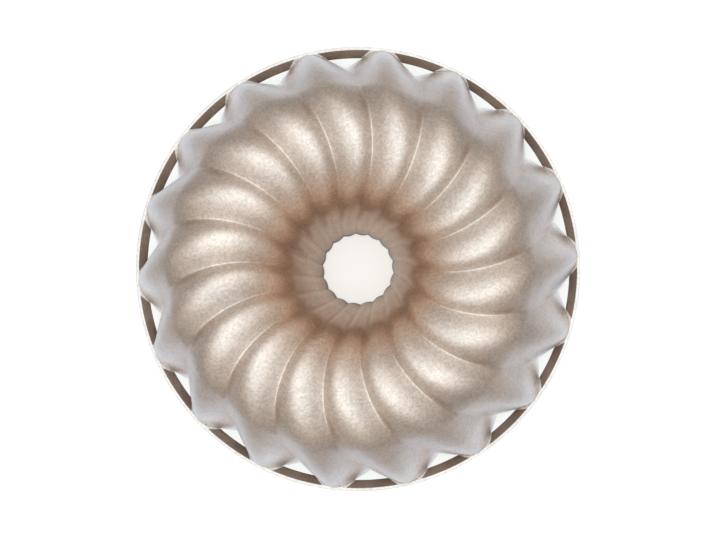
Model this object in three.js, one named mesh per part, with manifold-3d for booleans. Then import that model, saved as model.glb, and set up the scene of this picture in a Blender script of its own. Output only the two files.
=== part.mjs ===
// Kugelhopf mould: a swirled, fluted ring mould with a chimney, standing mouth down on its rim.
// Millimetres, +Z up. The origin is on the mould's axis, in the plane of the rim it stands on.
import * as THREE from "three";
import { mergeVertices } from "three/addons/utils/BufferGeometryUtils.js";
import Module from "manifold-3d";

// Profile along a groove between two flutes
const CHIMNEY_RADIUS = 20.4;
const CROWN_RADIUS = 70;
const RIM_RADIUS = 118;
const CROWN_HEIGHT = 80;
const INNER_SHOULDER = 38;
const OUTER_SHOULDER = 30.5;
const GROOVE_WALL_DEGREES = 70;

// How far a flute's ridge stands out of the grooves beside it
const CHIMNEY_FLUTE_DEPTH = 0.9;
const CROWN_FLUTE_DEPTH = 4.8;
const RIM_FLUTE_DEPTH = 11.8;

// A ridge has its crown further out than a groove, bends wider on the inside and has a rounder outer wall.
const RIDGE_CROWN_SHIFT = 2.5;
const RIDGE_SHOULDER_GROWTH = 5;
const RIDGE_WALL_DEGREES = 58;

// Flutes: their number, their swirl away from straight spokes, and the round share of their width
const FLUTE_COUNT = 18;
const FIRST_GROOVE_DEGREES = 17.1;
const SWIRL_RADIUS = 50;
const CHIMNEY_SWIRL_DEGREES = 17.2;
const CHIMNEY_SWIRL_POWER = 2;
const RIM_SWIRL_DEGREES = 16.6;
const RIM_SWIRL_POWER = 1.58;
const CROWN_ROUND_SHARE = 0.66;
const WALL_ROUND_SHARE = 0.44;
const RIM_ROUND_SHARE = 0.18;

// Metal of the mould
const WALL = 3;
const JOINT_GAP = 0.3;

// Lap joint between the chimney and the fluted shell
const CHIMNEY_MOUTH_HEIGHT = 1;
const JOINT_HEIGHT = 26;
const LAP_LENGTH = 10;

// Rim ring around the tips of the flutes
const RING_LEDGE = 0.2;
const RING_HEIGHT = 3.3;
const RING_TOP_WIDTH = 1.8;
const RING_FOOT_WIDTH = 6.2;

// Facets
const FACETS_PER_FLUTE = 8;
const FACETS_PER_ZONE = 4;

// Stations along a profile: whole numbers part its four zones
const CHIMNEY_MOUTH = 0;
const CHIMNEY_TOP = 1;
const CROWN = 2;
const WALL_TOP = 3;
const RIM = 4;

const TURN_FACETS = FLUTE_COUNT * FACETS_PER_FLUTE;
const FLUTE_ANGLE = (2 * Math.PI) / FLUTE_COUNT;

const manifold = await Module();
manifold.setup();

// A profile in the radius and height plane: a straight chimney wall, two shoulder arcs that meet on the crown,
// and an outer wall that is one wide arc. A tilt is how far the metal's face leans from facing up.
class Profile {
  constructor(chimneyRadius, innerArc, crownRadius, height, outerArc, wallTilt, rimRadius) {
    Object.assign(this, { chimneyRadius, innerArc, crownRadius, height, outerArc, wallTilt });
    this.innerCentre = new THREE.Vector2(crownRadius, height - innerArc);
    this.outerCentre = new THREE.Vector2(crownRadius, height - outerArc);
    this.chimneyFoot = new THREE.Vector2(chimneyRadius, 0);
    const toInner = this.innerCentre.clone().sub(this.chimneyFoot);
    this.chimneySlope = toInner.angle() + Math.asin(innerArc / toInner.length());
    this.chimneyTilt = -this.chimneySlope;

    // The outer wall leaves its shoulder at the wall tilt and bends on down to the rim.
    const wallTop = this.onArc(this.outerCentre, outerArc, wallTilt);
    const facing = wallTop.clone().sub(this.outerCentre).normalize();
    const drop = new THREE.Vector2(rimRadius, 0).sub(wallTop);
    this.wallArc = -drop.lengthSq() / (2 * drop.dot(facing));
    this.wallCentre = wallTop.sub(facing.multiplyScalar(this.wallArc));
    const toRim = new THREE.Vector2(rimRadius, 0).sub(this.wallCentre).divideScalar(this.wallArc);
    this.rimTilt = Math.atan2(toRim.x, toRim.y);
  }

  onArc(centre, radius, tilt) {
    return new THREE.Vector2(Math.sin(tilt), Math.cos(tilt)).multiplyScalar(radius).add(centre);
  }

  at(station) {
    if (station < CHIMNEY_TOP) {
      const chimneyTop = this.onArc(this.innerCentre, this.innerArc, this.chimneyTilt);
      return this.chimneyFoot.clone().lerp(chimneyTop, station - CHIMNEY_MOUTH);
    }
    if (station < CROWN) {
      return this.onArc(this.innerCentre, this.innerArc, this.chimneyTilt * (CROWN - station));
    }
    if (station < WALL_TOP) {
      return this.onArc(this.outerCentre, this.outerArc, this.wallTilt * (station - CROWN));
    }
    const tilt = THREE.MathUtils.lerp(this.wallTilt, this.rimTilt, station - WALL_TOP);
    return this.onArc(this.wallCentre, this.wallArc, tilt);
  }

  // The profile that lies a distance deeper in the metal, towards the cake
  inset(distance) {
    const wallReach = Math.sqrt((this.wallArc - distance) ** 2 - this.wallCentre.y ** 2);
    return new Profile(
      this.chimneyRadius + distance / Math.sin(this.chimneySlope),
      this.innerArc - distance,
      this.crownRadius,
      this.height - distance,
      this.outerArc - distance,
      this.wallTilt,
      this.wallCentre.x + Math.sign(this.wallArc) * wallReach,
    );
  }
}

const grooveProfile = new Profile(
  CHIMNEY_RADIUS,
  INNER_SHOULDER,
  CROWN_RADIUS,
  CROWN_HEIGHT,
  OUTER_SHOULDER,
  THREE.MathUtils.degToRad(GROOVE_WALL_DEGREES),
  RIM_RADIUS,
);
const ridgeProfile = new Profile(
  CHIMNEY_RADIUS - CHIMNEY_FLUTE_DEPTH,
  INNER_SHOULDER + RIDGE_SHOULDER_GROWTH,
  CROWN_RADIUS + RIDGE_CROWN_SHIFT,
  CROWN_HEIGHT + CROWN_FLUTE_DEPTH,
  OUTER_SHOULDER,
  THREE.MathUtils.degToRad(RIDGE_WALL_DEGREES),
  RIM_RADIUS + RIM_FLUTE_DEPTH,
);

// The swirl turns each groove further round, the further it runs in or out from the swirl radius.
function swirlAt(station) {
  const radius = grooveProfile.at(station).x;
  if (radius < SWIRL_RADIUS) {
    const share = (SWIRL_RADIUS - radius) / (SWIRL_RADIUS - CHIMNEY_RADIUS);
    return THREE.MathUtils.degToRad(CHIMNEY_SWIRL_DEGREES) * share ** CHIMNEY_SWIRL_POWER;
  }
  const share = (radius - SWIRL_RADIUS) / (RIM_RADIUS - SWIRL_RADIUS);
  return THREE.MathUtils.degToRad(RIM_SWIRL_DEGREES) * share ** RIM_SWIRL_POWER;
}

// How high a flute stands across its width, 0 in its grooves and 1 on its ridge.
// Its section is a round ridge between two straight flanks, broad over the crown and sharper down at the rim.
function fluteRise(across, station) {
  const round =
    station < WALL_TOP
      ? THREE.MathUtils.lerp(CROWN_ROUND_SHARE, WALL_ROUND_SHARE, Math.max(station - CROWN, 0))
      : THREE.MathUtils.lerp(WALL_ROUND_SHARE, RIM_ROUND_SHARE, station - WALL_TOP);
  const out = Math.abs(across);
  const drop = out < round ? (out * out) / (2 * round) : out - round / 2;
  return 1 - drop / (1 - round / 2);
}

// A closed section, listed as [station, depth in the metal], is turned about the axis and drawn out into flutes.
function flutedRing(section) {
  const outline = section.map(([station, depth]) => grooveProfile.inset(depth).at(station));
  outline.push(outline[0]);
  const ring = new THREE.LatheGeometry(outline, TURN_FACETS);
  const position = ring.getAttribute("position");
  outline.forEach((groove, corner) => {
    const [station, depth] = section[corner % section.length];
    const ridge = ridgeProfile.inset(depth).at(station);
    const start = THREE.MathUtils.degToRad(FIRST_GROOVE_DEGREES) + swirlAt(station);
    for (let facet = 0; facet <= TURN_FACETS; facet += 1) {
      const across = ((facet % FACETS_PER_FLUTE) / FACETS_PER_FLUTE) * 2 - 1;
      const point = groove.clone().lerp(ridge, fluteRise(across, station));
      const angle = start + ((facet % TURN_FACETS) / FACETS_PER_FLUTE) * FLUTE_ANGLE;
      const vertex = facet * outline.length + corner;
      position.setXYZ(vertex, point.x * Math.cos(angle), point.x * Math.sin(angle), point.y);
    }
  });
  return ring;
}

// The stations from one to another, evenly spaced within each zone that they cross
function stationsBetween(from, to) {
  const stations = [from];
  for (let zone = Math.floor(from); zone < to; zone += 1) {
    const low = Math.max(from, zone);
    const high = Math.min(to, zone + 1);
    const steps = Math.ceil((high - low) * FACETS_PER_ZONE);
    for (let step = 1; step <= steps; step += 1) {
      stations.push(THREE.MathUtils.lerp(low, high, step / steps));
    }
  }
  return stations;
}

// A profile of straight edges, given as [radius, height], turned about the axis
function plainRing(corners) {
  const outline = corners.map(([radius, height]) => new THREE.Vector2(radius, height));
  outline.push(outline[0]);
  return new THREE.LatheGeometry(outline, TURN_FACETS).rotateX(Math.PI / 2);
}

function solidFrom(geometry) {
  const bare = geometry.clone();
  bare.deleteAttribute("normal");
  bare.deleteAttribute("uv");
  const merged = mergeVertices(bare);
  const mesh = new manifold.Mesh({
    numProp: 3,
    vertProperties: merged.getAttribute("position").array,
    triVerts: new Uint32Array(merged.index.array),
  });
  return new manifold.Manifold(mesh);
}

function geometryFrom(solid) {
  const mesh = solid.getMesh();
  const geometry = new THREE.BufferGeometry();
  geometry.setAttribute("position", new THREE.BufferAttribute(mesh.vertProperties, mesh.numProp));
  geometry.setIndex(new THREE.BufferAttribute(mesh.triVerts, 1));
  geometry.computeVertexNormals();
  return geometry;
}

// Lap joint: the shell ends in a thin lip on the air side, and the chimney in one on the cake side.
const wallHeight = grooveProfile.at(CHIMNEY_TOP).y;
const lipThickness = (WALL - JOINT_GAP) / 2;
const shellLipEnd = JOINT_HEIGHT / wallHeight;
const shellLipRoot = (JOINT_HEIGHT + LAP_LENGTH) / wallHeight;
const gapStation = JOINT_GAP / wallHeight;
const chimneyStart = CHIMNEY_MOUTH_HEIGHT / wallHeight;

function shellGeometry() {
  const airSide = stationsBetween(shellLipEnd, RIM).map((station) => [station, 0]);
  const cakeSide = stationsBetween(shellLipRoot, RIM).map((station) => [station, WALL]);
  const lip = [
    [shellLipEnd, lipThickness],
    [shellLipRoot, lipThickness],
  ];
  return flutedRing([...airSide.reverse(), ...lip, ...cakeSide]);
}

function chimneyGeometry() {
  const airSide = stationsBetween(chimneyStart, shellLipEnd - gapStation).map((station) => [station, 0]);
  const cakeSide = stationsBetween(chimneyStart, shellLipRoot - gapStation).map((station) => [station, WALL]);
  const lip = [
    [shellLipRoot - gapStation, WALL - lipThickness],
    [shellLipEnd - gapStation, WALL - lipThickness],
  ];
  return flutedRing([...airSide.reverse(), ...cakeSide, ...lip]);
}

// The ring has a flat foot and top, an upright outside and a sloping inside.
const ringRadius = RIM_RADIUS + RIM_FLUTE_DEPTH + RING_LEDGE;

function ringGeometry() {
  return plainRing([
    [ringRadius - RING_FOOT_WIDTH, 0],
    [ringRadius, 0],
    [ringRadius, RING_HEIGHT],
    [ringRadius - RING_TOP_WIDTH, RING_HEIGHT],
  ]);
}

// The saddle that the ring needs in each flute tip: the ring's section with a gap all round, open below
function saddleGeometry() {
  const slope = Math.atan2(RING_HEIGHT, RING_FOOT_WIDTH - RING_TOP_WIDTH);
  const sideways = JOINT_GAP * Math.tan(slope / 2);
  const run = JOINT_GAP / Math.sin(slope);
  const below = RING_HEIGHT;
  return plainRing([
    [ringRadius - RING_FOOT_WIDTH - run, -below],
    [ringRadius + JOINT_GAP, -below],
    [ringRadius + JOINT_GAP, RING_HEIGHT + JOINT_GAP],
    [ringRadius - RING_TOP_WIDTH - sideways, RING_HEIGHT + JOINT_GAP],
    [ringRadius - RING_FOOT_WIDTH - run, 0],
  ]);
}

const champagneCoat = { color: 0xb39d8a, roughness: 0.35, metalness: 0.9 };
const mould = new THREE.Group();

function addPiece(name, geometry) {
  const piece = new THREE.Mesh(geometry, new THREE.MeshStandardMaterial(champagneCoat));
  piece.name = name;
  mould.add(piece);
}

const notchedShell = solidFrom(shellGeometry()).subtract(solidFrom(saddleGeometry()));
addPiece("fluted_shell", geometryFrom(notchedShell));
addPiece("chimney", geometryFrom(solidFrom(chimneyGeometry())));
addPiece("rim_ring", geometryFrom(solidFrom(ringGeometry())));

export default mould;
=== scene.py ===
import math

import bmesh
import bpy
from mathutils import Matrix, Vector


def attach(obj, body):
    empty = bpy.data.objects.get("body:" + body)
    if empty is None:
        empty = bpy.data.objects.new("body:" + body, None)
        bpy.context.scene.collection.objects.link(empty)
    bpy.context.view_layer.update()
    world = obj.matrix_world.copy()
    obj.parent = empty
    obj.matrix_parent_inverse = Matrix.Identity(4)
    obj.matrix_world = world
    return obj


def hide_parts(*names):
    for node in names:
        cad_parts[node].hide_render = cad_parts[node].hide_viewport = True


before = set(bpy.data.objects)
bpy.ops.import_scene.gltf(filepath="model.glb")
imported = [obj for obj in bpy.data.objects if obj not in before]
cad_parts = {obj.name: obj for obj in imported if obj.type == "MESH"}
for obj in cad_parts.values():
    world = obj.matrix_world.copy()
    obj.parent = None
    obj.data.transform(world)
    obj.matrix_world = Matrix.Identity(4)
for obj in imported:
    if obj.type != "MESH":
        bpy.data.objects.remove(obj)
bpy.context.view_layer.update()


# View: a long-lens camera hangs a little to one side of the mould's axis and faces straight down.
# Its lens is shifted sideways, so that the mould still fills the middle of the picture.
eye = Vector((0.0487, -0.0099, 0.700))
picture_middle = Vector((-0.00026, -0.0005))
lens_millimetres = 59.88
sensor_millimetres = 36.0

lens_shift = (picture_middle - eye.xy) * lens_millimetres / (sensor_millimetres * eye.z)
camera_data = bpy.data.cameras.new("camera")
camera_data.lens = lens_millimetres
camera_data.sensor_width = sensor_millimetres
camera_data.shift_x = lens_shift.x
camera_data.shift_y = lens_shift.y
camera = bpy.data.objects.new("camera", camera_data)
camera.location = eye
bpy.context.scene.collection.objects.link(camera)
bpy.context.scene.camera = camera


# Fluted shell: the outer wall and crown of the mould, cast in one with eighteen swirled flutes.
# The metal is aluminium, coated all over in a champagne non-stick with fine metal flake.
# Its inner edge is a thin lip for the chimney, and each flute tip has a saddle for the rim ring.
flute_count = 18
wall_thickness = 0.003
joint_gap = 0.0003
first_groove = math.radians(17.1)
swirl_radius = 0.050
chimney_swirl = math.radians(17.2)
chimney_swirl_power = 2.0
rim_swirl = math.radians(16.6)
rim_swirl_power = 1.58
flute_angle = math.tau / flute_count
flute_steps = 24
step_crowding = 0.35
sharp_corner = math.radians(50)

# Stations along a profile, counted outwards from the chimney's mouth at 0.
CHIMNEY_TOP, CROWN, WALL_TOP, RIM = range(1, 5)

# Shares of half a flute: how wide a ridge is rounded at crown, wall top and rim, and a groove's fillet.
ridge_widths = (0.66, 0.44, 0.18)
groove_fillet = 0.018

# A ridge leans to one side by an amount, most at a station and less over a reach before and after it.
ridge_leans = ((-0.24, 1.72, 0.5), (0.12, 3.25, 0.75))


class Profile:
    """A line in the radius and height plane: chimney wall, two shoulder arcs, curved outer wall."""

    def __init__(self, chimney_radius, inner_arc, crown_radius, height, outer_arc, wall_tilt, rim_radius):
        self.sizes = chimney_radius, inner_arc, crown_radius, height, outer_arc, wall_tilt, rim_radius
        self.inner_centre = Vector((crown_radius, height - inner_arc))
        self.chimney_foot = Vector((chimney_radius, 0.0))
        to_inner = self.inner_centre - self.chimney_foot
        self.chimney_slope = math.atan2(to_inner.y, to_inner.x) + math.asin(inner_arc / to_inner.length)
        self.outer_centre = Vector((crown_radius, height - outer_arc))
        facing = Vector((math.sin(wall_tilt), math.cos(wall_tilt)))
        wall_top = self.outer_centre + outer_arc * facing
        drop = Vector((rim_radius, 0.0)) - wall_top
        self.wall_arc = -drop.length_squared / (2.0 * drop.dot(facing))
        self.wall_centre = wall_top - self.wall_arc * facing
        self.rim_tilt = math.atan2(rim_radius - self.wall_centre.x, -self.wall_centre.y)

    def at(self, station):
        """The point of the line at a station."""
        inner_arc, outer_arc, wall_tilt = self.sizes[1], self.sizes[4], self.sizes[5]
        chimney_tilt = -self.chimney_slope
        if station < CHIMNEY_TOP:
            facing = Vector((math.sin(chimney_tilt), math.cos(chimney_tilt)))
            return self.chimney_foot.lerp(self.inner_centre + inner_arc * facing, station)
        if station < CROWN:
            tilt = chimney_tilt * (CROWN - station)
            return self.inner_centre + inner_arc * Vector((math.sin(tilt), math.cos(tilt)))
        if station < WALL_TOP:
            tilt = wall_tilt * (station - CROWN)
            return self.outer_centre + outer_arc * Vector((math.sin(tilt), math.cos(tilt)))
        tilt = wall_tilt + (self.rim_tilt - wall_tilt) * (station - WALL_TOP)
        return self.wall_centre + self.wall_arc * Vector((math.sin(tilt), math.cos(tilt)))

    def inset(self, depth):
        """The line that runs at a depth below this one, in the metal."""
        chimney_radius, inner_arc, crown_radius, height, outer_arc, wall_tilt, rim_radius = self.sizes
        wall_reach = math.sqrt((self.wall_arc - depth) ** 2 - self.wall_centre.y ** 2)
        return Profile(
            chimney_radius + depth / math.sin(self.chimney_slope),
            inner_arc - depth,
            crown_radius,
            height - depth,
            outer_arc - depth,
            wall_tilt,
            self.wall_centre.x + wall_reach,
        )


groove_profile = Profile(
    chimney_radius=0.0204, inner_arc=0.038, crown_radius=0.070, height=0.0800,
    outer_arc=0.0305, wall_tilt=math.radians(70), rim_radius=0.1180,
)
ridge_profile = Profile(
    chimney_radius=0.0195, inner_arc=0.043, crown_radius=0.0725, height=0.0848,
    outer_arc=0.0305, wall_tilt=math.radians(58), rim_radius=0.1298,
)


def swirl_at(station):
    """How far a groove has turned about the axis at a station."""
    chimney_radius, rim_radius = groove_profile.sizes[0], groove_profile.sizes[6]
    radius = groove_profile.at(station).x
    if radius < swirl_radius:
        inwards = (swirl_radius - radius) / (swirl_radius - chimney_radius)
        return chimney_swirl * inwards**chimney_swirl_power
    outwards = (radius - swirl_radius) / (rim_radius - swirl_radius)
    return rim_swirl * outwards**rim_swirl_power


def flute_rise(across, station):
    """0 in a groove and 1 on a ridge: a round ridge, straight flanks and a fillet in the groove."""
    lean = 0.0
    for amount, middle, reach in ridge_leans:
        lean += amount * math.cos(min(abs(station - middle) / reach, 1.0) * math.pi / 2) ** 2
    crown, wall, rim = ridge_widths
    if station < WALL_TOP:
        ridge = crown + (wall - crown) * max(station - CROWN, 0.0)
    else:
        ridge = wall + (rim - wall) * (station - WALL_TOP)
    flank = 1.0 - lean if across > lean else 1.0 + lean
    from_groove = (math.hypot(1.0 - abs(across - lean) / flank, groove_fillet) - groove_fillet) / (
        math.hypot(1.0, groove_fillet) - groove_fillet
    )
    out = 1.0 - from_groove
    drop = out * out / (2.0 * ridge) if out < ridge else out - ridge / 2.0
    return 1.0 - drop / (1.0 - ridge / 2.0)


# Painted shade: the coat is darkened brown in the lee of a groove, on both its sides at the wall top, and
# in lines along it.
lee_across = -0.86
lee_width = 0.16
lee_station = 2.45
shade_reach = 0.40
beside_strength = 0.55
line_strength = 0.4
throat_line_end = 1.7
throat_line_fade = 0.4
wall_line_start = 2.3
wall_line_rise = 0.3
wall_line_end = 3.7
wall_line_fade = 0.5

# Painted reflection: the coat is lightened low in the grooves by the rim, starting higher up but weaker on
# one flank.
flank_pale_start = 3.05
flank_paleness = 0.5
rim_pale_start = 3.4
pale_rise = 0.3


def share(value):
    """The value, kept from 0 to 1."""
    return min(max(value, 0.0), 1.0)


def near(value, middle, reach):
    """1 at the middle, less on both sides of it and 0 from the reach on."""
    return share(1.0 - abs(value - middle) / reach)


def painted_groove_shade(across, station, rise):
    """1 where the painted shade is darkest: in a groove in the throat and on the outer wall, and in its
    lee.
    """
    lee = near(across, lee_across, lee_width) * near(station, lee_station, shade_reach)
    beside = beside_strength * (1.0 - rise) ** 3 * near(station, WALL_TOP, shade_reach)
    in_throat = share((throat_line_end - station) / throat_line_fade)
    past_start = share((station - wall_line_start) / wall_line_rise)
    before_end = share((wall_line_end - station) / wall_line_fade)
    line = line_strength * (1.0 - rise) ** 10 * max(in_throat, past_start * before_end)
    return max(lee, beside, line)


def painted_rim_light(across, station, rise):
    """1 where the painted reflection is brightest: down in the grooves by the rim, and higher up on one
    flank.
    """
    if across < 0.0:
        along = flank_paleness * share((station - flank_pale_start) / pale_rise)
    else:
        along = share((station - rim_pale_start) / pale_rise)
    return (1.0 - rise) * along


def zone_stations(low, high, steps):
    """Evenly spaced stations from low to high, with both ends."""
    return [low + (high - low) * step / steps for step in range(steps + 1)]


def fluted_ring(name, section):
    """Spins a closed section, listed as (station, depth in the metal), and draws it out into flutes."""
    bm = bmesh.new()
    station_layer = bm.verts.layers.float.new("station")
    depth_layer = bm.verts.layers.float.new("depth")
    painted_shade_layer = bm.verts.layers.float.new("painted_shade")
    painted_light_layer = bm.verts.layers.float.new("painted_light")
    corners = []
    for station, depth in section:
        place = groove_profile.inset(depth).at(station)
        corner = bm.verts.new((place.x, 0.0, place.y))
        corner[station_layer] = station
        corner[depth_layer] = depth
        corners.append(corner)
    edges = [bm.edges.new((a, b)) for a, b in zip(corners, corners[1:] + corners[:1])]
    bmesh.ops.spin(
        bm, geom=corners + edges, cent=(0, 0, 0), axis=(0, 0, 1),
        angle=math.tau, steps=flute_count * flute_steps, use_merge=True,
    )
    places = {}
    for vert in bm.verts:
        station = vert[station_layer]
        depth = vert[depth_layer]
        key = (round(station, 5), round(depth, 6))
        if key not in places:
            groove = groove_profile.inset(depth).at(station)
            ridge = ridge_profile.inset(depth).at(station)
            places[key] = groove, ridge, first_groove + swirl_at(station)
        groove, ridge, start = places[key]
        turned = math.atan2(vert.co.y, vert.co.x) % math.tau
        turns = round(turned / flute_angle * flute_steps) / flute_steps
        flute, along = divmod(turns, 1.0)
        across = along * 2.0 - 1.0
        across *= 1.0 + step_crowding - step_crowding * across * across
        rise = flute_rise(across, station)
        vert[painted_shade_layer] = painted_groove_shade(across, station, rise)
        vert[painted_light_layer] = painted_rim_light(across, station, rise)
        point = groove.lerp(ridge, rise)
        angle = start + (flute + (across + 1.0) / 2.0) * flute_angle
        vert.co = point.x * math.cos(angle), point.x * math.sin(angle), point.y
    bmesh.ops.recalc_face_normals(bm, faces=bm.faces)
    mesh = bpy.data.meshes.new(name)
    bm.to_mesh(mesh)
    bm.free()
    mesh.shade_smooth()
    mesh.set_sharp_from_angle(angle=sharp_corner)
    piece = bpy.data.objects.new(name, mesh)
    bpy.context.scene.collection.objects.link(piece)
    return piece


wall_height = groove_profile.at(CHIMNEY_TOP).y
rim_wall = (groove_profile.at(RIM) - groove_profile.at(WALL_TOP)).length
lip_thickness = wall_thickness / 2
joint_height = 0.026
lap_length = 0.010
edge_round = 0.0006
round_middle = 0.3 * edge_round
air_lip_steps = 8
cake_lip_steps = 5
shoulder_steps = 24
wall_steps = 18
lip_end = joint_height / wall_height
lip_root = (joint_height + lap_length) / wall_height
foot_start = RIM - edge_round / rim_wall
foot_middle = RIM - round_middle / rim_wall
crown_and_wall = (
    zone_stations(CHIMNEY_TOP, CROWN, shoulder_steps)[1:]
    + zone_stations(CROWN, WALL_TOP, shoulder_steps)[1:]
    + zone_stations(WALL_TOP, foot_start, wall_steps)[1:]
)
air_side = zone_stations(lip_end, CHIMNEY_TOP, air_lip_steps) + crown_and_wall
cake_side = zone_stations(lip_root, CHIMNEY_TOP, cake_lip_steps) + crown_and_wall
shell_section = [(RIM, edge_round), (foot_middle, round_middle)]
shell_section += [(station, 0.0) for station in reversed(air_side)]
shell_section += [(lip_end, lip_thickness), (lip_root, lip_thickness)]
shell_section += [(station, wall_thickness) for station in cake_side]
shell_section += [(foot_middle, wall_thickness - round_middle), (RIM, wall_thickness - edge_round)]
shell_body = fluted_ring("shell_body", shell_section)

ring_radius = 0.130
ring_height = 0.0033
ring_top_width = 0.0018
ring_foot_width = 0.0062
ring_steps = 20
saddle_clear = 0.002
slope_run = (ring_foot_width - ring_top_width) / ring_height


def spun_ring(bm, corners):
    """Spins a closed outline, listed as (radius, height), about the mould's axis."""
    verts = [bm.verts.new((radius, 0.0, height)) for radius, height in corners]
    edges = [bm.edges.new((a, b)) for a, b in zip(verts, verts[1:] + verts[:1])]
    bmesh.ops.spin(
        bm, geom=verts + edges, cent=(0, 0, 0), axis=(0, 0, 1),
        angle=math.tau, steps=flute_count * ring_steps, use_merge=True,
    )
    bmesh.ops.recalc_face_normals(bm, faces=bm.faces)


def saddle_edge(height):
    """Radius of the saddle's sloping side: the ring's slope, set back by the joint gap."""
    return ring_radius - ring_foot_width + slope_run * height - joint_gap * math.hypot(1.0, slope_run)


bm = bmesh.new()
spun_ring(bm, [
    (saddle_edge(-saddle_clear), -saddle_clear),
    (ring_radius + saddle_clear, -saddle_clear),
    (ring_radius + saddle_clear, ring_height + joint_gap),
    (saddle_edge(ring_height + joint_gap), ring_height + joint_gap),
])
saddle_mesh = bpy.data.meshes.new("saddle_cutter")
bm.to_mesh(saddle_mesh)
bm.free()
saddle_cutter = bpy.data.objects.new("saddle_cutter", saddle_mesh)
bpy.context.scene.collection.objects.link(saddle_cutter)
saddles = shell_body.modifiers.new("saddles", "BOOLEAN")
saddles.operation = "DIFFERENCE"
saddles.solver = "EXACT"
saddles.object = saddle_cutter
cut_shell = shell_body.evaluated_get(bpy.context.evaluated_depsgraph_get())
shell_mesh = bpy.data.meshes.new_from_object(cut_shell)
shell_body.modifiers.clear()
shell_body.data = shell_mesh
shell_mesh.set_sharp_from_angle(angle=sharp_corner)
bpy.data.objects.remove(saddle_cutter)

# Sockets of a Mix node that mixes colours.
COLOUR_A, COLOUR_B, COLOUR_RESULT = 6, 7, 2

# The flake in the coat: flecks and clouds vary its tone, and fine grains its gloss and its height.
flake = bpy.data.node_groups.new("metal_flake", "ShaderNodeTree")
flake.interface.new_socket("Vector", in_out="INPUT", socket_type="NodeSocketVector")
flake.interface.new_socket("Shade", in_out="OUTPUT", socket_type="NodeSocketFloat")
flake.interface.new_socket("Roughness", in_out="OUTPUT", socket_type="NodeSocketFloat")
flake.interface.new_socket("Height", in_out="OUTPUT", socket_type="NodeSocketFloat")
place = flake.nodes.new("NodeGroupInput")
result = flake.nodes.new("NodeGroupOutput")
flecks = flake.nodes.new("ShaderNodeTexVoronoi")
flecks.inputs["Scale"].default_value = 1000.0
grains = flake.nodes.new("ShaderNodeTexNoise")
grains.inputs["Scale"].default_value = 900.0
grains.inputs["Detail"].default_value = 2.0
clouds = flake.nodes.new("ShaderNodeTexNoise")
clouds.inputs["Scale"].default_value = 45.0
clouds.inputs["Detail"].default_value = 2.0
for texture in (flecks, grains, clouds):
    flake.links.new(place.outputs["Vector"], texture.inputs["Vector"])
fleck = flake.nodes.new("ShaderNodeSeparateColor")
flake.links.new(flecks.outputs["Color"], fleck.inputs["Color"])
cloud = flake.nodes.new("ShaderNodeMapRange")
cloud.inputs["From Min"].default_value = 0.3
cloud.inputs["From Max"].default_value = 0.7
cloud.inputs["To Max"].default_value = 0.4
flake.links.new(clouds.outputs["Fac"], cloud.inputs["Value"])
shade = flake.nodes.new("ShaderNodeMath")
shade.operation = "MULTIPLY_ADD"
shade.inputs[1].default_value = 0.6
flake.links.new(fleck.outputs["Red"], shade.inputs[0])
flake.links.new(cloud.outputs["Result"], shade.inputs[2])
satin = flake.nodes.new("ShaderNodeMapRange")
satin.inputs["From Min"].default_value = 0.3
satin.inputs["From Max"].default_value = 0.7
satin.inputs["To Min"].default_value = 0.38
satin.inputs["To Max"].default_value = 0.48
flake.links.new(grains.outputs["Fac"], satin.inputs["Value"])
flake.links.new(shade.outputs["Value"], result.inputs["Shade"])
flake.links.new(satin.outputs["Result"], result.inputs["Roughness"])
flake.links.new(grains.outputs["Fac"], result.inputs["Height"])


def champagne_coat(name, dark, light):
    """A satin coat full of fine metal flake, from one champagne tone to a slightly lighter one."""
    coat = bpy.data.materials.new(name)
    coat.use_nodes = True
    nodes = coat.node_tree.nodes
    links = coat.node_tree.links
    shader = nodes["Principled BSDF"]
    shader.inputs["Metallic"].default_value = 0.85
    shader.inputs["Coat Weight"].default_value = 0.5
    shader.inputs["Coat Roughness"].default_value = 0.3
    where = nodes.new("ShaderNodeTexCoord")
    grain = nodes.new("ShaderNodeGroup")
    grain.node_tree = flake
    links.new(where.outputs["Object"], grain.inputs["Vector"])
    colour = nodes.new("ShaderNodeMix")
    colour.data_type = "RGBA"
    colour.inputs[COLOUR_A].default_value = (*dark, 1.0)
    colour.inputs[COLOUR_B].default_value = (*light, 1.0)
    links.new(grain.outputs["Shade"], colour.inputs["Factor"])
    links.new(colour.outputs[COLOUR_RESULT], shader.inputs["Base Color"])
    links.new(grain.outputs["Roughness"], shader.inputs["Roughness"])
    bump = nodes.new("ShaderNodeBump")
    bump.inputs["Strength"].default_value = 0.5
    bump.inputs["Distance"].default_value = 0.00012
    links.new(grain.outputs["Height"], bump.inputs["Height"])
    links.new(bump.outputs["Normal"], shader.inputs["Normal"])
    return coat


def tint(coat, mask, colour):
    """Multiplies a coat's colour by another one where the mask is 1."""
    links = coat.node_tree.links
    base = coat.node_tree.nodes["Principled BSDF"].inputs["Base Color"]
    mix = coat.node_tree.nodes.new("ShaderNodeMix")
    mix.data_type = "RGBA"
    mix.blend_type = "MULTIPLY"
    links.new(mask, mix.inputs["Factor"])
    links.new(base.links[0].from_socket, mix.inputs[COLOUR_A])
    mix.inputs[COLOUR_B].default_value = (*colour, 1.0)
    links.new(mix.outputs[COLOUR_RESULT], base)


def fade(coat, measure, full, none):
    """A mask over a measure: 1 at the first value, fading to 0 at the second."""
    mask = coat.node_tree.nodes.new("ShaderNodeMapRange")
    mask.interpolation_type = "SMOOTHSTEP"
    mask.inputs["From Min"].default_value = full
    mask.inputs["From Max"].default_value = none
    mask.inputs["To Min"].default_value = 1.0
    mask.inputs["To Max"].default_value = 0.0
    coat.node_tree.links.new(measure, mask.inputs["Value"])
    return mask.outputs["Result"]


def attribute(coat, name):
    """A mask that was laid on the mesh, by its name."""
    node = coat.node_tree.nodes.new("ShaderNodeAttribute")
    node.attribute_name = name
    return node.outputs["Fac"]


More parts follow.
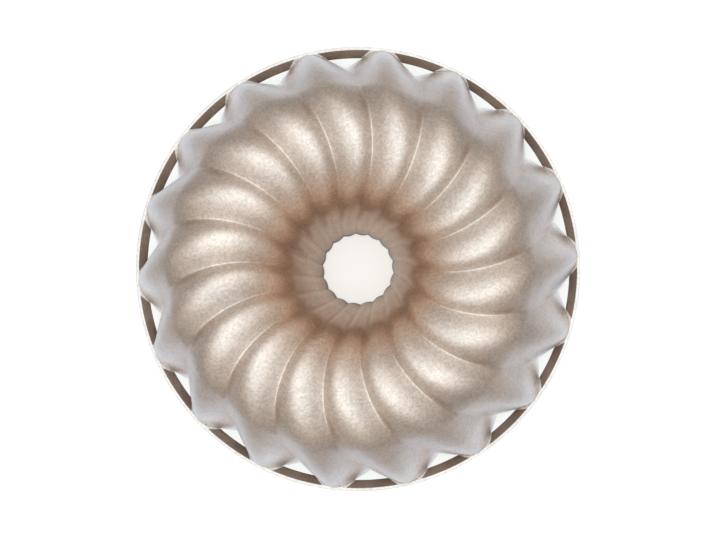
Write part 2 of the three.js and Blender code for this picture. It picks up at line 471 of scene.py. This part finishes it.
throat_radius = 0.030
throat_end = 0.062
chimney_wall_radius = 0.0255
chimney_wall_end = 0.0325
foot_shadow_height = 0.0006
foot_shadow_end = 0.0018
# Painted warm bounce light and shade: the coat is browner in the chimney's throat.
throat_painted_bounce = (1.03, 0.88, 0.77)
# Painted reflection of the table: the coat is paler and bluer on the chimney wall, most towards its mouth.
mouth_painted_reflection = (1.08, 1.27, 1.47)
# Painted shade: the coat is browner in and beside the grooves.
groove_shade_colour = (0.79, 0.69, 0.61)
# Painted reflection: the coat is paler low in the grooves by the rim.
rim_painted_light = (1.40, 1.46, 1.54)
# Painted shadow: the coat darkens along its foot, where it meets the table.
foot_painted_shadow = (0.45, 0.42, 0.40)
shell_coat = champagne_coat("shell_coat", (0.465, 0.376, 0.305), (0.735, 0.594, 0.481))
where = shell_coat.node_tree.nodes["Texture Coordinate"]
axes = shell_coat.node_tree.nodes.new("ShaderNodeSeparateXYZ")
shell_coat.node_tree.links.new(where.outputs["Object"], axes.inputs["Vector"])
flat = shell_coat.node_tree.nodes.new("ShaderNodeVectorMath")
flat.operation = "MULTIPLY"
flat.inputs[1].default_value = (1.0, 1.0, 0.0)
shell_coat.node_tree.links.new(where.outputs["Object"], flat.inputs[0])
length = shell_coat.node_tree.nodes.new("ShaderNodeVectorMath")
length.operation = "LENGTH"
shell_coat.node_tree.links.new(flat.outputs["Vector"], length.inputs[0])
radius = length.outputs["Value"]
tint(shell_coat, fade(shell_coat, radius, throat_radius, throat_end), throat_painted_bounce)
tint(shell_coat, fade(shell_coat, radius, chimney_wall_radius, chimney_wall_end), mouth_painted_reflection)
tint(shell_coat, attribute(shell_coat, "painted_shade"), groove_shade_colour)
tint(shell_coat, attribute(shell_coat, "painted_light"), rim_painted_light)
tint(shell_coat, fade(shell_coat, axes.outputs["Z"], foot_shadow_height, foot_shadow_end), foot_painted_shadow)
shell_body.data.materials.clear()
shell_body.data.materials.append(shell_coat)
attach(shell_body, "root")
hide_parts("fluted_shell")


# Chimney: the tapered centre tube of the mould, cast apart with the flutes running down it.
# It is brazed over the shell's lip, and its open mouth stands just clear of the table.
mouth_height = 0.001
air_wall_steps = 10
cake_wall_steps = 14
mouth_edge = mouth_height / wall_height
mouth_middle = (mouth_height + round_middle) / wall_height
mouth_start = (mouth_height + edge_round) / wall_height
chimney_section = [(station, 0.0) for station in zone_stations(lip_end, mouth_start, air_wall_steps)]
chimney_section += [
    (mouth_middle, round_middle),
    (mouth_edge, edge_round),
    (mouth_edge, wall_thickness - edge_round),
    (mouth_middle, wall_thickness - round_middle),
]
chimney_section += [
    (station, wall_thickness) for station in zone_stations(mouth_start, lip_root, cake_wall_steps)
]
chimney_section += [(lip_root, lip_thickness), (lip_end, lip_thickness)]
chimney_tube = fluted_ring("chimney_tube", chimney_section)
# Painted shade: the chimney's coat darkens towards its mouth, with a painted shadow line just above the
# mouth.
dark_height = 0.004
dark_end = 0.020
mouth_line_height = 0.0035
mouth_line_end = 0.0065
lower_wall_painted_shade = (0.60, 0.60, 0.60)
mouth_painted_shadow = (0.30, 0.28, 0.26)
chimney_coat = shell_coat.copy()
chimney_coat.name = "chimney_coat"
chimney_height = chimney_coat.node_tree.nodes["Separate XYZ"].outputs["Z"]
tint(chimney_coat, fade(chimney_coat, chimney_height, dark_height, dark_end), lower_wall_painted_shade)
tint(chimney_coat, fade(chimney_coat, chimney_height, mouth_line_height, mouth_line_end), mouth_painted_shadow)
chimney_tube.data.materials.append(chimney_coat)
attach(chimney_tube, "root")
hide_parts("chimney")


# Rim ring: a cast ring with a flat foot, brazed into the saddles of the flute tips.
# The mould stands on it. Its sloping inside carries painted shade between the tips, and a painted
# highlight beside each tip.
ring_edge = 0.0002
edge_angle = math.radians(20)
first_tip = first_groove + rim_swirl + flute_angle / 2
bright_angle = math.radians(3.2)
bright_spread = 10.0
bright_blur = math.radians(0.15)
# Painted shade darkens the ring's slope between the tips; a painted highlight brightens it beside each
# tip.
slope_painted_shade = (0.395, 0.34, 0.305)
slope_painted_highlight = (1.39, 1.58, 1.80)
bm = bmesh.new()
spun_ring(bm, [
    (ring_radius - ring_foot_width, 0.0),
    (ring_radius, 0.0),
    (ring_radius, ring_height),
    (ring_radius - ring_top_width, ring_height),
])
round_edges = [edge for edge in bm.edges if edge.calc_face_angle() > edge_angle]
bmesh.ops.bevel(
    bm, geom=round_edges, offset=ring_edge, segments=3, profile=0.5, affect="EDGES", material=-1,
)
slope = bm.verts.layers.float.new("slope")
past_tip = bm.verts.layers.float.new("past_tip")
for vert in bm.verts:
    inside = ring_radius - ring_top_width - math.hypot(vert.co.x, vert.co.y)
    turn = math.atan2(vert.co.y, vert.co.x) - first_tip
    from_tip = abs((turn + flute_angle / 2) % flute_angle - flute_angle / 2)
    vert[slope] = 1.0 if inside > 0.0 else 0.0
    vert[past_tip] = from_tip - bright_angle - bright_spread * inside
mesh = bpy.data.meshes.new("ring_body")
bm.to_mesh(mesh)
bm.free()
mesh.shade_smooth()
mesh.set_sharp_from_angle(angle=sharp_corner)
ring_body = bpy.data.objects.new("ring_body", mesh)
bpy.context.scene.collection.objects.link(ring_body)


def both(coat, first, second):
    """A mask that is 1 where two masks are."""
    node = coat.node_tree.nodes.new("ShaderNodeMath")
    node.operation = "MULTIPLY"
    coat.node_tree.links.new(first, node.inputs[0])
    coat.node_tree.links.new(second, node.inputs[1])
    return node.outputs["Value"]


ring_coat = champagne_coat("ring_coat", (0.52, 0.445, 0.385), (0.72, 0.63, 0.55))
on_slope = attribute(ring_coat, "slope")
past_tips = attribute(ring_coat, "past_tip")
between_tips = fade(ring_coat, past_tips, bright_blur, -bright_blur)
beside_tips = fade(ring_coat, past_tips, -bright_blur, bright_blur)
tint(ring_coat, both(ring_coat, on_slope, between_tips), slope_painted_shade)
tint(ring_coat, both(ring_coat, on_slope, beside_tips), slope_painted_highlight)
ring_body.data.materials.append(ring_coat)
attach(ring_body, "root")
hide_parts("rim_ring")


# Studio: a white table under a dome of soft light, brightest overhead and cooler there than at its foot.
# The camera sees dome and table white, with a painted shadow under the mould; the coat mirrors the table
# as a painted sheet.
table_reach = 4.0
bm = bmesh.new()
bmesh.ops.create_grid(bm, x_segments=1, y_segments=1, size=table_reach)
mesh = bpy.data.meshes.new("table")
bm.to_mesh(mesh)
bm.free()
table = bpy.data.objects.new("table", mesh)
bpy.context.scene.collection.objects.link(table)
table_paint = bpy.data.materials.new("table_white")
table_paint.use_nodes = True
nodes = table_paint.node_tree.nodes
links = table_paint.node_tree.links
paint = nodes["Principled BSDF"]
paint.inputs["Base Color"].default_value = (0.50, 0.50, 0.50, 1.0)
paint.inputs["Roughness"].default_value = 0.9
paint.inputs["Specular IOR Level"].default_value = 0.0
spot = nodes.new("ShaderNodeTexCoord")
reach = nodes.new("ShaderNodeVectorMath")
reach.operation = "LENGTH"
links.new(spot.outputs["Object"], reach.inputs[0])
ray = nodes.new("ShaderNodeLightPath")
# Painted shadow: the glow that shows the camera a white table is lower and warmer under the mould.
lift = nodes.new("ShaderNodeValToRGB")
lift.color_ramp.elements[0].position = 0.03
lift.color_ramp.elements[0].color = (0.59, 0.54, 0.48, 1.0)
lift.color_ramp.elements[1].position = 0.131
lift.color_ramp.elements[1].color = (0.62, 0.62, 0.62, 1.0)
for position in (0.11, 0.125):
    lift.color_ramp.elements.new(position).color = (0.46, 0.45, 0.40, 1.0)
links.new(reach.outputs["Value"], lift.inputs["Fac"])
glow = nodes.new("ShaderNodeEmission")
links.new(lift.outputs["Color"], glow.inputs["Color"])
links.new(ray.outputs["Is Camera Ray"], glow.inputs["Strength"])
seen = nodes.new("ShaderNodeAddShader")
links.new(paint.outputs["BSDF"], seen.inputs[0])
links.new(glow.outputs["Emission"], seen.inputs[1])
# Painted reflection: glossy rays see the table as a glowing sheet, with a painted shadow under the
# chimney, a bright bluish band by the rim, darker outwards.
table_painted_reflection = nodes.new("ShaderNodeValToRGB")
table_painted_reflection.color_ramp.elements[0].position = 0.0
table_painted_reflection.color_ramp.elements[0].color = (0.42, 0.32, 0.24, 1.0)
table_painted_reflection.color_ramp.elements[1].position = 0.60
table_painted_reflection.color_ramp.elements[1].color = (0.40, 0.38, 0.38, 1.0)
for position, colour in (
    (0.014, (0.64, 0.54, 0.46, 1.0)),
    (0.020, (0.80, 0.72, 0.66, 1.0)),
    (0.030, (0.74, 0.65, 0.57, 1.0)),
    (0.110, (1.04, 1.16, 1.30, 1.0)),
    (0.138, (1.02, 1.20, 1.45, 1.0)),
    (0.165, (0.70, 0.735, 0.79, 1.0)),
    (0.215, (0.44, 0.43, 0.43, 1.0)),
):
    table_painted_reflection.color_ramp.elements.new(position).color = colour
links.new(reach.outputs["Value"], table_painted_reflection.inputs["Fac"])
mirrored = nodes.new("ShaderNodeEmission")
links.new(table_painted_reflection.outputs["Color"], mirrored.inputs["Color"])
choice = nodes.new("ShaderNodeMixShader")
links.new(ray.outputs["Is Glossy Ray"], choice.inputs["Fac"])
links.new(seen.outputs["Shader"], choice.inputs[1])
links.new(mirrored.outputs["Emission"], choice.inputs[2])
links.new(choice.outputs["Shader"], nodes["Material Output"].inputs["Surface"])
table.data.materials.append(table_paint)

dome_light = 2.6
dome_unevenness = 0.3
world = bpy.data.worlds.new("studio")
world.use_nodes = True
bpy.context.scene.world = world
nodes = world.node_tree.nodes
links = world.node_tree.links
direction = nodes.new("ShaderNodeTexCoord")
height = nodes.new("ShaderNodeSeparateXYZ")
links.new(direction.outputs["Generated"], height.inputs["Vector"])
above = nodes.new("ShaderNodeMath")
above.operation = "MAXIMUM"
above.inputs[1].default_value = 0.0
links.new(height.outputs["Z"], above.inputs[0])
dome = nodes.new("ShaderNodeValToRGB")
dome.color_ramp.elements[0].color = (0.18, 0.165, 0.155, 1.0)
dome.color_ramp.elements[1].color = (0.755, 0.89, 1.0, 1.0)
for position, colour in (
    (0.26, (0.21, 0.195, 0.183, 1.0)),
    (0.50, (0.302, 0.30, 0.298, 1.0)),
    (0.77, (0.51, 0.545, 0.588, 1.0)),
):
    dome.color_ramp.elements.new(position).color = colour
links.new(above.outputs["Value"], dome.inputs["Fac"])
across = nodes.new("ShaderNodeMath")
across.operation = "MULTIPLY"
links.new(height.outputs["X"], across.inputs[0])
links.new(height.outputs["Y"], across.inputs[1])
uneven = nodes.new("ShaderNodeMath")
uneven.operation = "MULTIPLY_ADD"
uneven.inputs[1].default_value = dome_unevenness * dome_light
uneven.inputs[2].default_value = dome_light
links.new(across.outputs["Value"], uneven.inputs[0])
light = nodes.new("ShaderNodeVectorMath")
light.operation = "SCALE"
links.new(dome.outputs["Color"], light.inputs[0])
links.new(uneven.outputs["Value"], light.inputs["Scale"])
ray = nodes.new("ShaderNodeLightPath")
backdrop = nodes.new("ShaderNodeMix")
backdrop.data_type = "RGBA"
backdrop.inputs[COLOUR_B].default_value = (1.0, 1.0, 1.0, 1.0)
links.new(ray.outputs["Is Camera Ray"], backdrop.inputs["Factor"])
links.new(light.outputs["Vector"], backdrop.inputs[COLOUR_A])
links.new(backdrop.outputs[COLOUR_RESULT], nodes["Background"].inputs["Color"])

bpy.context.scene.view_settings.view_transform = "Standard"
